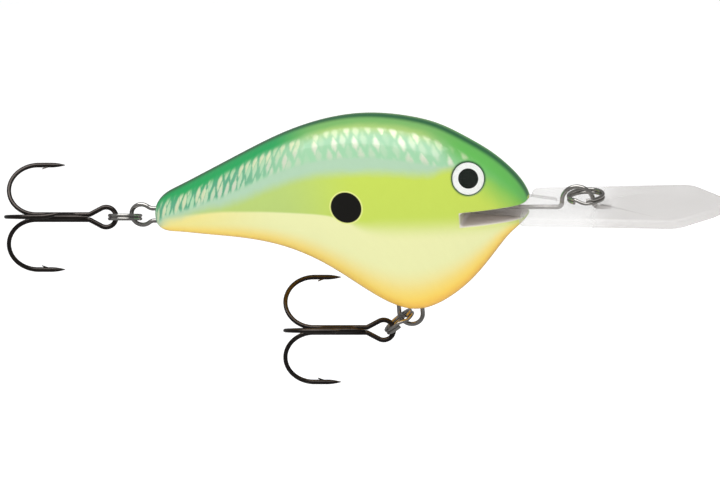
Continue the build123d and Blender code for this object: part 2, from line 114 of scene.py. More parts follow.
# ------------------------------------------------------------------ shader nodes
class Finish:
    """A node material built with short calls round one Principled shader."""

    def __init__(self, name):
        self.material = bpy.data.materials.new(name)
        self.material.use_nodes = True
        self.tree = self.material.node_tree
        self.shader = self.tree.nodes["Principled BSDF"]
        self.coords = self.node("ShaderNodeTexCoord").outputs["Object"]
        split = self.node("ShaderNodeSeparateXYZ")
        self.feed(split.inputs[0], self.coords)
        self.x, self.y, self.z = split.outputs

    def node(self, kind, **settings):
        """A new node with its settings."""
        made = self.tree.nodes.new(kind)
        for key, value in settings.items():
            setattr(made, key, value)
        return made

    def feed(self, socket, value):
        """Links an output to a socket, or sets the socket's own value."""
        if isinstance(value, bpy.types.NodeSocket):
            self.tree.links.new(value, socket)
        elif socket.type == "RGBA":
            socket.default_value = (*tuple(value)[:3], 1)
        else:
            socket.default_value = value

    def set(self, **values):
        """Feeds the shader's sockets, named with underscores for spaces."""
        for key, value in values.items():
            self.feed(self.shader.inputs[key.replace("_", " ")], value)

    def math(self, operation, first, second=0.0):
        """One step of arithmetic."""
        made = self.node("ShaderNodeMath", operation=operation)
        self.feed(made.inputs[0], first)
        self.feed(made.inputs[1], second)
        return made.outputs[0]

    def add(self, first, second):
        """Sum of two numbers."""
        return self.math("ADD", first, second)

    def sub(self, first, second):
        """First number less the second."""
        return self.math("SUBTRACT", first, second)

    def mul(self, first, second):
        """Product of two numbers."""
        return self.math("MULTIPLY", first, second)

    def div(self, first, second):
        """First number over the second."""
        return self.math("DIVIDE", first, second)

    def rise(self, value, low, high):
        """0 at low and 1 at high, smooth between; low may be above high."""
        made = self.node("ShaderNodeMapRange", interpolation_type="SMOOTHSTEP")
        self.feed(made.inputs["Value"], value)
        self.feed(made.inputs["From Min"], low)
        self.feed(made.inputs["From Max"], high)
        return made.outputs[0]

    def past_x(self, low, high):
        """0 at low and 1 at high along the lure, both in millimetres."""
        return self.rise(self.x, low * MM, high * MM)

    def mix(self, share, first, second):
        """Two colours mixed by a share."""
        made = self.node("ShaderNodeMix", data_type="RGBA")
        self.feed(made.inputs[0], share)
        self.feed(made.inputs[6], first)
        self.feed(made.inputs[7], second)
        return made.outputs[2]

    def attribute(self, name):
        """A number that the mesh carries at each point."""
        return self.node("ShaderNodeAttribute", attribute_name=name).outputs["Fac"]

    def noise(self, scale, detail=3.0):
        """Smooth noise from 0 to 1; scale is in features per metre."""
        made = self.node("ShaderNodeTexNoise")
        self.feed(made.inputs["Vector"], self.coords)
        self.feed(made.inputs["Scale"], scale)
        self.feed(made.inputs["Detail"], detail)
        return made.outputs["Fac"]

    def vector(self, x, y, z=0.0):
        """Three numbers as one vector."""
        made = self.node("ShaderNodeCombineXYZ")
        for socket, value in zip(made.inputs, (x, y, z)):
            self.feed(socket, value)
        return made.outputs[0]

    def length(self, *parts):
        """Length of a vector of up to three numbers."""
        made = self.node("ShaderNodeVectorMath", operation="LENGTH")
        self.feed(made.inputs[0], self.vector(*parts))
        return made.outputs["Value"]

    def along(self, knots):
        """A smooth curve over x, in millimetres in and metres out."""
        places = [place for place, value in knots]
        values = [value for place, value in knots]
        low, high = min(values), max(values)
        share = self.node("ShaderNodeMapRange")
        self.feed(share.inputs["Value"], self.x)
        self.feed(share.inputs["From Min"], places[0] * MM)
        self.feed(share.inputs["From Max"], places[-1] * MM)
        curve = self.node("ShaderNodeFloatCurve")
        self.feed(curve.inputs["Value"], share.outputs[0])
        points = curve.mapping.curves[0].points
        while len(points) < len(knots):
            points.new(0.5, 0.5)
        for point, (place, value) in zip(points, knots):
            point.handle_type = "AUTO_CLAMPED"
            point.location = (
                (place - places[0]) / (places[-1] - places[0]),
                (value - low) / (high - low),
            )
        curve.mapping.update()
        scaled = self.mul(curve.outputs[0], (high - low) * MM)
        return self.add(scaled, low * MM)

    def bump(self, height, distance, strength=1.0):
        """Relief from a height between 0 and 1 and its depth in metres."""
        made = self.node("ShaderNodeBump")
        self.feed(made.inputs["Height"], height)
        self.feed(made.inputs["Distance"], distance)
        self.feed(made.inputs["Strength"], strength)
        return made.outputs[0]


def wire_finish(name, colour, roughness, relief):
    """Plated wire: faint clouds in its colour, drawing marks in its gloss and relief."""
    finish = Finish(name)
    marks = finish.noise(2600.0, 4.0)
    clouds = finish.noise(300.0, 2.0)
    dull = tuple(0.7 * part for part in colour)
    finish.set(
        Base_Color=finish.mix(finish.rise(clouds, 0.35, 0.7), colour, dull),
        Metallic=1.0,
        Roughness=finish.mul(finish.add(marks, 0.5), roughness),
        Normal=finish.bump(marks, relief),
    )
    return finish.material


def belly_and_side(finish, paint):
    """Orange belly edge, cream flank and the green side above it."""
    rise = finish.attribute("rise")
    belly = finish.mix(finish.rise(rise, 0.0, 0.12), paint.belly_edge, paint.belly)
    flank = finish.mix(finish.past_x(-76, -52), paint.tail_flank, paint.flank)
    belly = finish.mix(finish.rise(rise, 0.07, 0.3), belly, flank)
    green_share = finish.past_x(-54, -38)
    green_side = finish.mix(green_share, paint.rear_side, paint.side)
    edge = finish.along(
        [(-79, -2.4), (-70, -0.6), (-62, 0.4), (-50, 0.9), (-42, 0.2), (-36, -1.6), (-9, -2.0)]
    )
    soft = finish.along([(-79, 0.5), (-46, 0.25), (-38, 1.6), (-30, 2.6), (-9, 2.6)])
    over_edge = finish.div(finish.sub(finish.z, edge), soft)
    return finish.mix(finish.rise(over_edge, -1.0, 1.0), belly, green_side)


def scale_leaves(finish, depth):
    """Height of slanted leaf shapes in rows, and a number that differs from leaf to leaf."""
    slant = finish.along([(-79, -0.4), (-60, -0.4), (-45, 0.25), (-9, 0.4)])
    lean = finish.mul(slant, finish.sub(depth, 6 * MM))
    packed = finish.along([(-79, -92), (-64, -70), (-50, -50), (-9, -9)])
    leaned = finish.sub(packed, finish.mul(lean, 1 / MM))
    across = finish.div(leaned, 2.1 * MM)
    down = finish.div(depth, 4.3 * MM)
    scales = finish.node("ShaderNodeTexVoronoi", voronoi_dimensions="2D", distance="MINKOWSKI")
    cell = finish.vector(finish.add(across, down), finish.sub(across, down))
    finish.feed(scales.inputs["Vector"], cell)
    finish.feed(scales.inputs["Scale"], 1.0)
    finish.feed(scales.inputs["Exponent"], 4.0)
    finish.feed(scales.inputs["Randomness"], 0.5)
    blur = finish.mul(finish.sub(finish.noise(1100.0, 2.0), 0.5), 0.3)
    leaf = finish.rise(finish.add(scales.outputs["Distance"], blur), 0.52, 0.16)
    tint = finish.node("ShaderNodeSeparateColor")
    finish.feed(tint.inputs[0], scales.outputs["Color"])
    return leaf, tint.outputs[0]


def mint_band(finish, paint, colour, sprayed):
    """Grey-mint shade and the mint ground of the scales; also the band's share."""
    pale_end = finish.along(
        [
            (-79, 5.2), (-70, 7.2), (-62, 9.4), (-46, 11.2),
            (-38, 11.8), (-28, 11.0), (-22, 8.0), (-9, 3.0),
        ]
    )
    past_pale = finish.sub(sprayed, pale_end)
    colour = finish.mix(finish.rise(past_pale, 1.1 * MM, -1.1 * MM), colour, paint.mint_shade)
    band_end = finish.along(
        [
            (-79, 4.4), (-70, 6.2), (-62, 7.6), (-46, 8.8), (-38, 9.3),
            (-28, 9.0), (-22, 7.4), (-17, 3.5), (-9, 2.0),
        ]
    )
    in_band = finish.rise(finish.sub(sprayed, band_end), 0.5 * MM, -0.5 * MM)
    return finish.mix(in_band, colour, paint.scale_ground), in_band


def back_green(finish, paint, colour, sprayed):
    """Greens of the tail, hump and head over the lime fade, which on the hump also carries a painted
    highlight.
    """
    back = finish.mix(finish.past_x(-56, -46), paint.tail_back, paint.hump_back)
    back = finish.mix(finish.past_x(-27, -19), back, paint.head_back)
    hump_fade = finish.past_x(-54, -44)
    fade_back = finish.mul(hump_fade, finish.past_x(-20, -27))
    # lime paint under the back green, brightened on the hump's top as a painted highlight of the
    # overhead light
    lime = finish.rise(sprayed, 6.0 * MM, 3.6 * MM)
    colour = finish.mix(finish.mul(lime, fade_back), colour, paint.hump_lime_highlight)
    back_end = finish.along(
        [
            (-79, 2.0), (-74, 3.2), (-68, 3.9), (-54, 4.1), (-46, 3.5),
            (-30, 3.2), (-24, 4.4), (-19, 6.6), (-14, 7.0), (-9, 5.0),
        ]
    )
    fuzz = finish.along([(-79, 1.0), (-30, 1.3), (-20, 3.4), (-9, 4.2)])
    past_back = finish.div(finish.sub(sprayed, back_end), fuzz)
    return finish.mix(finish.rise(past_back, 1.0, -1.0), colour, back)


def markings(finish, paint, colour):
    """Side spot with its halo, bare wood in the lip slot and painted shade round the eye seat."""
    from_spot = finish.length(finish.sub(finish.x, paint.spot_x), finish.sub(finish.z, paint.spot_z))
    radius = paint.spot_radius
    halo = finish.rise(from_spot, radius + 0.35 * MM, radius + 0.15 * MM)
    colour = finish.mix(halo, colour, paint.spot_halo)
    spot = finish.rise(from_spot, radius + 0.08 * MM, radius - 0.08 * MM)
    colour = finish.mix(spot, colour, paint.spot)

    off_middle = finish.math("ABSOLUTE", finish.sub(finish.z, SLOT_MIDDLE))
    inside = finish.mul(
        finish.rise(off_middle, SLOT_HALF + 0.2 * MM, SLOT_HALF),
        finish.rise(finish.x, SLOT_BACK_X - 1.0 * MM, SLOT_BACK_X - 0.7 * MM),
    )
    colour = finish.mix(inside, colour, paint.slot_wall)

    eye_low, eye_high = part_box("eye_iris_left")
    eye = (eye_low + eye_high) / 2
    from_eye = finish.length(
        finish.sub(finish.x, eye.x),
        finish.sub(finish.math("ABSOLUTE", finish.y), abs(eye.y)),
        finish.sub(finish.z, eye.z),
    )
    eye_radius = (eye_high.z - eye_low.z) / 2
    # painted shade: a dark green ring round the eye's seat, where the recess lies in shadow
    rim = finish.rise(from_eye, eye_radius + 0.75 * MM, eye_radius + 0.25 * MM)
    return finish.mix(rim, colour, paint.eye_seat_painted_shade)


def lacquer(paint):
    """Sprayed fish paint under a thick clear coat."""
    finish = Finish("painted lacquer")
    depth = finish.attribute("from_back")
    mottle = finish.noise(420.0, 2.0)
    sprayed = finish.add(depth, finish.mul(finish.sub(mottle, 0.5), 0.6 * MM))

    colour = belly_and_side(finish, paint)
    colour, in_band = mint_band(finish, paint, colour, sprayed)
    leaf, leaf_tint = scale_leaves(finish, depth)
    gap = finish.mix(finish.past_x(-66, -48), paint.tail_gap, paint.scale_ground)
    colour = finish.mix(finish.mul(in_band, finish.rise(leaf, 0.8, 0.0)), colour, gap)
    colour = back_green(finish, paint, colour, sprayed)

    shine = finish.mul(leaf, finish.rise(leaf_tint, -0.3, 1.0))
    band_start = finish.along([(-79, 2.2), (-70, 3.4), (-60, 3.9), (-46, 4.0), (-9, 4.0)])
    under_back = finish.rise(finish.sub(depth, band_start), -0.4 * MM, 0.6 * MM)
    seen = finish.mul(finish.mul(shine, in_band), under_back)
    top_row = finish.rise(depth, 6.8 * MM, 5.2 * MM)
    colour = finish.mix(seen, colour, finish.mix(top_row, paint.pearl_low, paint.pearl_high))
    colour = finish.mix(finish.rise(depth, 1.9 * MM, 0.2 * MM), colour, paint.back_line)
    colour = markings(finish, paint, colour)

    grain = finish.noise(5200.0, 2.0)
    finish.set(
        Base_Color=colour,
        Metallic=finish.mul(seen, 0.35),
        Roughness=finish.add(finish.mul(grain, 0.1), 0.34),
        Normal=finish.bump(finish.add(leaf, finish.mul(grain, 0.2)), 0.02 * MM),
        Specular_IOR_Level=0.2,
        Coat_Weight=0.8,
        Coat_Roughness=0.04,
        Coat_IOR=1.42,
    )
    return finish.material


def lip_finish(paint):
    """Moulded polycarbonate: milky clear, denser where it is seen edge on."""
    finish = Finish("clear lip plastic")
    flow = finish.noise(160.0, 3.0)
    fine = finish.noise(1900.0, 3.0)
    edge = finish.node("ShaderNodeLayerWeight")
    finish.feed(edge.inputs["Blend"], 0.35)
    density = finish.add(finish.mul(edge.outputs["Facing"], 0.3), 0.45)
    density = finish.add(density, finish.mul(flow, 0.1))
    clear_rear = finish.add(finish.mul(finish.past_x(1, 9), 0.6), 0.4)
    finish.set(
        Base_Color=finish.mix(flow, paint.lip, tuple(0.9 * part for part in paint.lip)),
        Roughness=finish.add(finish.mul(fine, 0.12), 0.18),
        Alpha=finish.mul(density, clear_rear),
        Normal=finish.bump(flow, 0.03 * MM),
        IOR=1.585,
    )
    return finish.material


def eye_white_finish(paint):
    """White enamel of the iris."""
    finish = Finish("eye white enamel")
    speck = finish.noise(1800.0, 2.0)
    finish.set(
        Base_Color=finish.mix(speck, paint.iris, tuple(0.92 * part for part in paint.iris)),
        Roughness=finish.add(finish.mul(speck, 0.1), 0.3),
    )
    return finish.material


def eye_black_finish(paint):
    """Gloss black of the pupil, with a painted green reflection in its colour."""
    finish = Finish("eye black enamel")
    speck = finish.noise(900.0, 2.0)
    finish.set(
        # the pupil's colour holds a painted green reflection
        Base_Color=finish.mix(speck, paint.pupil, tuple(0.4 * part for part in paint.pupil)),
        Roughness=finish.add(finish.mul(speck, 0.05), 0.12),
        Specular_IOR_Level=0.12,
    )
    return finish.material


def eye_clear_finish():
    """Clear resin dome over the eye."""
    finish = Finish("eye clear resin")
    wave = finish.noise(500.0, 2.0)
    edge = finish.node("ShaderNodeLayerWeight")
    finish.feed(edge.inputs["Blend"], 0.25)
    finish.set(
        Base_Color=(0.7, 0.72, 0.7),
        Roughness=finish.mul(wave, 0.04),
        IOR=1.49,
        Alpha=finish.add(finish.mul(edge.outputs["Facing"], 0.12), 0.01),
        Normal=finish.bump(wave, 0.01 * MM),
    )
    return finish.material


# ------------------------------------------------------------------- mesh pieces
def place(name, mesh, material, body, slot, replaced=()):
    """Adds a finished mesh to the scene, hangs it on its body and hides the CAD nodes it replaces."""
    piece = bpy.data.objects.new(name, mesh)
    bpy.context.scene.collection.objects.link(piece)
    mesh.materials.clear()
    mesh.materials.append(material)
    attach(piece, body)
    if replaced:
        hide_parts(*replaced)
    return piece


def solid_mesh(name, parts, sharp=40.0):
    """One mesh of several closed shells, each a pair of points and faces."""
    made = bmesh.new()
    for points, faces in parts:
        corners = [made.verts.new(point) for point in points]
        for face in faces:
            made.faces.new([corners[index] for index in face])
    bmesh.ops.remove_doubles(made, verts=made.verts, dist=1e-7)
    bmesh.ops.recalc_face_normals(made, faces=made.faces)
    mesh = bpy.data.meshes.new(name)
    made.to_mesh(mesh)
    made.free()
    mesh.shade_smooth()
    mesh.set_sharp_from_angle(angle=radians(sharp))
    return mesh


def ring_faces(count, sides):
    """Faces of a closed tube whose corners come as count rings of so many sides."""
    faces = [tuple(range(sides)), tuple(range((count - 1) * sides, count * sides))]
    for first in range(0, (count - 1) * sides, sides):
        for step in range(sides):
            after = (step + 1) % sides
            faces.append((first + step, first + after, first + sides + after, first + sides + step))
    return faces


def tube(path, radii, flat=None, sides=20):
    """A closed tube along a path; flat gives a squeeze along one direction at each point."""
    path, radii = np.asarray(path, float), np.asarray(radii, float)
    runs = np.gradient(path, axis=0)
    runs /= np.linalg.norm(runs, axis=1)[:, None]
    side = np.cross(runs[0], (0.31, 0.87, 0.39))
    points = []
    turns = np.linspace(0, 2 * pi, sides, endpoint=False)
    for index, (centre, run, radius) in enumerate(zip(path, runs, radii)):
        side = side - run * (side @ run)
        side /= np.linalg.norm(side)
        other = np.cross(run, side)
        ring = np.outer(np.cos(turns), side) + np.outer(np.sin(turns), other)
        if flat is not None:
            normal, keep, widen = flat[index]
            share = ring @ normal
            ring = ring * widen + np.outer(share * (keep - widen), normal)
        points.extend(centre + radius * ring)
    return points, ring_faces(len(path), sides)


def lathe(profile, centre, axis, sides=72):
    """A closed turned shape from (radius, height) pairs that start and end on the axis."""
    turn = Vector(axis).to_track_quat("Z", "Y").to_matrix()
    points, rings = [], []
    for radius, height in profile:
        count = 1 if radius == 0 else sides
        rings.append(range(len(points), len(points) + count))
        for step in range(count):
            angle = 2 * pi * step / sides
            local = Vector((radius * cos(angle), radius * sin(angle), height))
            points.append(centre + turn @ local)
    faces = []
    for lower, upper in zip(rings, rings[1:]):
        for step in range(sides):
            after = (step + 1) % sides
            corners = [lower[step % len(lower)], lower[after % len(lower)]]
            corners += [upper[after % len(upper)], upper[step % len(upper)]]
            faces.append(tuple(dict.fromkeys(corners)))
    return points, faces


def joined_copy(name, *nodes, keep=None):
    """A mesh with the triangles of some CAD nodes, merged at their corners."""
    made = bmesh.new()
    for node in nodes:
        made.from_mesh(frame["nodes"][node].data)
    bmesh.ops.remove_doubles(made, verts=made.verts, dist=2e-6)
    if keep:
        dropped = [face for face in made.faces if not keep(face)]
        bmesh.ops.delete(made, geom=dropped, context="FACES")
    mesh = bpy.data.meshes.new(name)
    made.to_mesh(mesh)
    made.free()
    return mesh


def baked(mesh, name, **modifiers):
    """The mesh with modifiers applied; each keyword is a type and its settings."""
    holder = bpy.data.objects.new(name, mesh)
    bpy.context.scene.collection.objects.link(holder)
    for kind, settings in modifiers.items():
        modifier = holder.modifiers.new(kind, kind)
        for key, value in settings.items():
            setattr(modifier, key, value)
    graph = bpy.context.evaluated_depsgraph_get()
    made = bpy.data.meshes.new_from_object(holder.evaluated_get(graph), depsgraph=graph)
    bpy.data.objects.remove(holder)
    made.name = name
    return made


def polished(name, nodes, material, body, slot, sharp=35.0):
    """A CAD part with merged corners and clean shading."""
    mesh = joined_copy(name, *nodes)
    mesh.shade_smooth()
    mesh.set_sharp_from_angle(angle=radians(sharp))
    mesh = baked(mesh, name, WEIGHTED_NORMAL={"keep_sharp": True, "weight": 80})
    return place(name, mesh, material, body, slot, nodes)


# -------------------------------------------------------------------------- body
def relax(points, edges, weight, rounds):
    """Evens out a mesh without shrinking it."""
    first, second = edges.T
    count = np.bincount(edges.ravel(), minlength=len(points))[:, None]
    for turn in range(2 * rounds):
        factor = SHRINK_STEP if turn % 2 == 0 else GROW_STEP
        total = np.zeros_like(points)
        for axis in range(3):
            total[:, axis] = np.bincount(first, points[second, axis], len(points))
            total[:, axis] += np.bincount(second, points[first, axis], len(points))
        points = points + factor * weight[:, None] * (total / count - points)
    return points


def outline(points, step=0.5 * MM):
    """Back and belly heights of the body along x, read from its corners."""
    places = np.arange(points[:, 0].min(), points[:, 0].max() + step, step)
    slots = np.clip(((points[:, 0] - places[0]) / step).round().astype(int), 0, len(places) - 1)
    top, bottom = np.full(len(places), -1.0), np.full(len(places), 1.0)
    np.maximum.at(top, slots, points[:, 2])
    np.minimum.at(bottom, slots, points[:, 2])
    return places, top, bottom


def body_skin(settings):
    """Both halves under one unbroken skin, with softened cuts."""
    halves = joined_copy(
        "body halves", *HALVES, keep=lambda face: any(abs(v.co.y) > 1e-6 for v in face.verts)
    )
    mesh = baked(halves, "body", REMESH={"mode": "VOXEL", "voxel_size": settings.skin_grain})
    count = len(mesh.vertices)
    points = np.empty(count * 3)
    mesh.vertices.foreach_get("co", points)
    points = points.reshape(-1, 3)
    edges = np.empty(len(mesh.edges) * 2, np.int32)
    mesh.edges.foreach_get("vertices", edges)
    edges = edges.reshape(-1, 2)

    x, y, z = points.T
    calm = ease(np.abs(z - SLOT_MIDDLE) - SLOT_HALF, 0.5 * MM, 1.8 * MM)
    calm = np.maximum(calm, ease(SLOT_BACK_X - x, 1.2 * MM, 2.4 * MM))
    for side in SIDES:
        gap = np.linalg.norm(points - np.array(middle(f"eye_iris_{side}")), axis=1)
        calm *= ease(gap, 3.5 * MM, 4.8 * MM)
    calm *= ease(x - BODY_BACK_X, 0.8 * MM, 2.5 * MM)
    hanger_low, hanger_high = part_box("belly_hanger")
    near_hanger = np.hypot(x - (hanger_low.x + hanger_high.x) / 2, y)
    calm *= np.maximum(ease(near_hanger, 3.0 * MM, 4.0 * MM), ease(z, -19.0 * MM, -17.0 * MM))
    points = relax(points, edges, np.ones(count), LIGHT_ROUNDS)
    points = relax(points, edges, calm, FULL_ROUNDS)
    mesh.vertices.foreach_set("co", points.ravel())

    x, y, z = points.T
    places, top, bottom = outline(points)
    crown, keel = np.interp(x, places, top), np.interp(x, places, bottom)
    rise = (z - keel) / (crown - keel)
    chord = np.hypot(y, crown - z)
    for name, values in (("from_back", chord), ("rise", rise)):
        layer = mesh.attributes.new(name, "FLOAT", "POINT")
        layer.data.foreach_set("value", values.astype(np.float32))
    mesh.shade_smooth()
    mesh.update()
    return mesh


# -------------------------------------------------------------------------- eyes
def build_eye(side, white, black, clear):
    """Iris disc, pupil and clear dome of one eye, turned on its own axis."""
    iris = node_points(f"eye_iris_{side}")
    centre = iris.mean(axis=0)
    facing = flat_facing(iris)
    facing *= np.sign(facing[1] * centre[1])

    def span(node):
        """Widest radius, lowest and highest place of a node on the eye's axis."""
        arms = node_points(f"{node}_{side}") - centre
        heights = arms @ facing
        return np.linalg.norm(np.cross(arms, facing), axis=1).max(), heights.min(), heights.max()

    wide, low, high = span("eye_iris")
    pupil_wide, pupil_low, pupil_high = span("eye_pupil")
    dome_rise = span("eye_lens")[2] - high
    thick, bevel = high - low, 0.12 * MM
    base = Vector(centre + facing * low)
    seat = Vector(centre + facing * high)

    disc = [(0, 0), (wide - bevel, 0), (wide, bevel)]
    for step in range(7):
        angle = pi / 2 * step / 6
        disc.append((wide - bevel + bevel * cos(angle), thick - bevel + bevel * sin(angle)))
    disc.append((0, thick))
    mesh = solid_mesh(f"iris_{side}", [lathe(disc, base, facing)])
    place(f"iris_{side}", mesh, white, "lure_body", "eye_white", (f"eye_iris_{side}",))

    pupil_rise = pupil_high - pupil_low
    button = [(0, 0), (pupil_wide, 0)]
    for step in range(1, 9):
        angle = pi / 2 * step / 8
        button.append((pupil_wide * cos(angle) if step < 8 else 0, pupil_rise * sin(angle)))
    mesh = solid_mesh(f"pupil_{side}", [lathe(button, seat, facing)])
    place(f"pupil_{side}", mesh, black, "lure_body", "eye_black", (f"eye_pupil_{side}",))

    ball = (wide**2 + dome_rise**2) / (2 * dome_rise)
    gap = 0.01 * MM
    dome = [(0, pupil_rise + gap), (pupil_wide + gap, pupil_rise + gap), (pupil_wide + 2 * gap, gap)]
    for step in range(17):
        radius = wide * (1 - step / 16)
        dome.append((radius, gap + sqrt(ball**2 - radius**2) - (ball - dome_rise)))
    mesh = solid_mesh(f"eye_dome_{side}", [lathe(dome, seat, facing)])
    place(f"eye_dome_{side}", mesh, clear, "lure_body", "eye_clear", (f"eye_lens_{side}",))


# ------------------------------------------------------------------------- hooks
UPPER_HEADING, LOWER_HEADING, THIRD_HEADING = radians(-30), radians(210), radians(90)


class HookFrame:
    """Place of one treble hook: u along its shank, v up beside it, w out to the side."""

    def __init__(self, node):
        points = node_points(node)
        front = points[points[:, 0] > points[:, 0].max() - 3.5 * MM]
        out = flat_facing(front)
        self.out = Vector(-out * np.sign(out[1]))
        self.up = Vector(JOINTS["tail_hook_swing"]["axis"]).normalized()
        self.axis = self.up.cross(self.out).normalized()
        along, upward, outward = (points @ np.array(way) for way in (self.axis, self.up, self.out))
        self.length = along.max() - along.min()
        eye = along > along.max() - 2 * MM
        self.start = self.axis * along.min()
        self.start += self.up * (upward[eye].max() + upward[eye].min()) / 2
        self.start += self.out * (outward[eye].max() + outward[eye].min()) / 2

    def at(self, u, v, w):
        """A point of the hook in the shared frame."""
        return self.start + self.axis * u + self.up * v + self.out * w


def bend_size(sizes, shank, heading):
    """Way that a hook opens, its shank's place and the radius of its bend."""
    out = Vector((0, cos(heading), sin(heading)))
    offset = Vector((0, *shank))
    return out, offset, (sizes.reach - sizes.wire / 2 - offset.dot(out)) / 2


def bend_path(hook, sizes, shank, heading, flare):
    """Points from the tip to the top of the bend, each with a radius and a squeeze."""
    out, offset, radius = bend_size(sizes, shank, heading)
    bend_u = radius + sizes.wire / 2
    flat_way = hook.up * -sin(heading) + hook.out * cos(heading)
    rows = []
    for along in np.linspace(sizes.point, 0, 24):
        from_tip = sizes.point - along
        share = min(from_tip / sizes.cone, 1)
        thick = sizes.wire / 2 * (0.1 + 0.9 * sin(share * pi / 2) ** 0.9)
        lift = flare * max(1 - from_tip / (0.8 * sizes.point), 0) ** 2
        rows.append((along, 2 * radius, thick, 0.0, lift))
    for step in range(1, 40):
        angle = pi / 2 + pi * step / 40
        squeeze = sin(pi * step / 40) ** 0.7
        rows.append((radius * cos(angle), radius + radius * sin(angle), sizes.wire / 2, squeeze, 0.0))
    path, radii, flat = [], [], []
    for along, away, thick, squeeze, lift in rows:
        spot = offset + out * away
        path.append(hook.at(bend_u + along, spot.y + lift, spot.z))
        radii.append(thick)
        flat.append((np.array(flat_way), 1 - 0.22 * squeeze, 1 - 0.1 * squeeze))
    return path, radii, flat


def barb(hook, sizes, shank, heading):
    """A sliver raised from the wire inside the point."""
    out, offset, radius = bend_size(sizes, shank, heading)
    across = Vector((0, -sin(heading), cos(heading)))
    foot_u = radius + sizes.wire / 2 + sizes.point - sizes.barb_back
    inner = 2 * radius - sizes.wire / 2
    rows = (
        (0.0, inner - sizes.barb_height, 0.05),
        (0.35, inner - 0.45 * sizes.barb_height, 0.6),
        (1.0, inner + sizes.wire / 5, 0.9),
    )
    points = []
    for along, away, width in rows:
        for lower in (0.0, sizes.wire / 4):
            for side in (-0.5, 0.5):
                spot = offset + out * (away + lower) + across * (side * width * sizes.barb_width)
                points.append(hook.at(foot_u + along * sizes.barb_length, spot.y, spot.z))
    faces = [(0, 1, 3, 2), (8, 9, 11, 10)]
    for first in (0, 4):
        faces += [
            (first, first + 1, first + 5, first + 4),
            (first + 2, first + 3, first + 7, first + 6),
            (first, first + 2, first + 6, first + 4),
            (first + 1, first + 3, first + 7, first + 5),
        ]
    return points, faces


def eye_route(eye_u, beside, sizes):
    """Wire's way from the upper shank round the eye, as (u, v) pairs."""
    rise = beside + sizes.neck
    slope = asin((sizes.eye + sizes.neck) / hypot(sizes.neck_run, rise)) - atan2(rise, sizes.neck_run)
    foot_u = eye_u - sizes.neck_run
    half = [
        (foot_u + sizes.neck * sin(turn), rise - sizes.neck * cos(turn))
        for turn in np.linspace(0, slope, 6)
    ]
    far = (eye_u - sizes.eye * sin(slope), sizes.eye * cos(slope))
    near = half[-1]
    for share in np.linspace(0, 1, 7)[1:-1]:
        half.append((near[0] + share * (far[0] - near[0]), near[1] + share * (far[1] - near[1])))
    for angle in np.linspace(pi / 2 + slope, 0, 34)[:-1]:
        half.append((eye_u + sizes.eye * cos(angle), sizes.eye * sin(angle)))
    return half + [(eye_u + sizes.eye, 0.0)] + [(u, -v) for u, v in reversed(half)]


def treble(name, material, sizes, flare):
    """Double hook bent round its eye and a third hook brazed on."""
    hook = HookFrame(f"{name}_double")
    beside = sizes.wire / 2 * 1.033
    stacked = sqrt((2 * beside) ** 2 - beside**2)
    eye_u = hook.length - sizes.wire / 2 - sizes.eye
    upper = bend_path(hook, sizes, (beside, 0), UPPER_HEADING, 0.0)
    lower = bend_path(hook, sizes, (-beside, 0), LOWER_HEADING, 0.0)
    route = eye_route(eye_u, beside, sizes)
    shank_start = (upper[0][-1] - hook.start).dot(hook.axis)
    shank = [(u, beside) for u in np.linspace(shank_start + 0.4 * MM, route[0][0] - 0.3 * MM, 24)]
    rounds = shank + route + [(u, -v) for u, v in reversed(shank)]
    middle_path = [hook.at(u, v, 0) for u, v in rounds]
    plain = (np.array(hook.out), 1.0, 1.0)
    path = upper[0] + middle_path + lower[0][::-1]
    radii = upper[1] + [sizes.wire / 2] * len(middle_path) + lower[1][::-1]
    flat = upper[2] + [plain] * len(middle_path) + lower[2][::-1]
    parts = [tube(path, radii, flat)]
    parts.append(barb(hook, sizes, (beside, 0), UPPER_HEADING))
    parts.append(barb(hook, sizes, (-beside, 0), LOWER_HEADING))
    mesh = solid_mesh(f"{name}_pair", parts)
    place(f"{name}_pair", mesh, material, name, "black_nickel", (f"{name}_double",))

    third = bend_path(hook, sizes, (0, stacked), THIRD_HEADING, flare)
    end_u = sizes.third_end
    start_u = (third[0][-1] - hook.start).dot(hook.axis) + 0.4 * MM
    steps = np.linspace(start_u, end_u, 30)
    third_path = third[0] + [hook.at(u, 0, stacked) for u in steps]
    fades = [1 - 0.5 * ease(u, end_u - 2.2 * MM, end_u) for u in steps]
    third_radii = third[1] + [sizes.wire / 2 * fade for fade in fades]
    third_flat = third[2] + [plain] * len(steps)
    parts = [tube(third_path, third_radii, third_flat), barb(hook, sizes, (0, stacked), THIRD_HEADING)]
    parts.append(braze(hook, sizes, beside, stacked))
    mesh = solid_mesh(f"{name}_third", parts)
    place(f"{name}_third", mesh, material, name, "black_nickel", (f"{name}_single",))


def braze(hook, sizes, beside, stacked):
    """Brazing metal that fills the grooves between the three shanks."""
    corners = [Vector((beside, 0)), Vector((0, stacked)), Vector((-beside, 0))]
    heart = sum(corners, Vector((0, 0))) / 3
    places = np.linspace(sizes.braze_start, sizes.braze_end, 26)
    sides, fade_run = 36, 1.4 * MM
    points = []
    for u in places:
        ends = min(u - sizes.braze_start, sizes.braze_end - u) / fade_run
        fill = sizes.wire / 2 * (0.35 + 0.6 * sqrt(min(max(ends, 0), 1)))
        for step in range(sides):
            angle = 2 * pi * step / sides
            way = Vector((cos(angle), sin(angle)))
            reach = max((corner - heart).dot(way) for corner in corners)
            spot = heart + way * (0.8 * reach + fill)
            points.append(hook.at(u, spot.x, spot.y))
    return points, ring_faces(len(places), sides)


